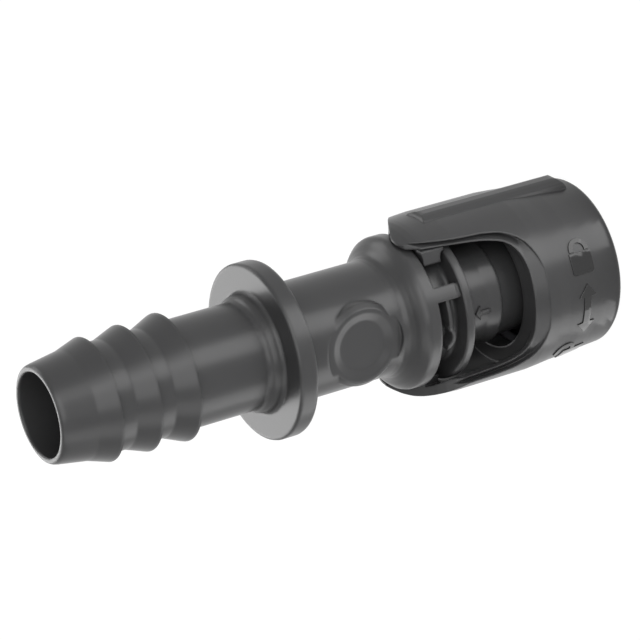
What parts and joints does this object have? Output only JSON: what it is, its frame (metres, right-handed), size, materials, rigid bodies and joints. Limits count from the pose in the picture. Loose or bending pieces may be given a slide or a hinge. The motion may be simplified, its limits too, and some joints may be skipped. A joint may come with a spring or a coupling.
{
  "type": "drip line connector",
  "caption": "Barbed irrigation coupling with a stop flange and a windowed turning sleeve that locks a drip pipe on a nipple.",
  "frame": {"origin": "centre of the open end of the sleeve, on the flow axis, where the part stands", "axes": "+Z runs along the flow axis from the open end of the sleeve to the mouth of the barbed spigot; -Y is the side with the round pad and the pointer; +X is the side of the first tongue's grip"},
  "size_m": [0.0242, 0.0232, 0.0771],
  "materials": {
    "body_plastic": "satin moulded dark grey plastic",
    "sleeve_plastic": "satin moulded dark grey plastic",
    "seal_rubber": "matte black rubber",
    "ring_steel": "plain spring steel"
  },
  "bodies": {
    "body": {"connector_body": "body_plastic", "seal_ring": "seal_rubber"},
    "sleeve": {"locking_sleeve": "sleeve_plastic", "grip_ring": "ring_steel"}
  },
  "joints": [
    {"name": "sleeve_turn", "type": "hinge", "parent": "body", "child": "sleeve", "pos_m": [0, 0, 0.0245], "axis": [0, 0, 1], "range_deg": [-18.5, 45.5]}
  ]
}
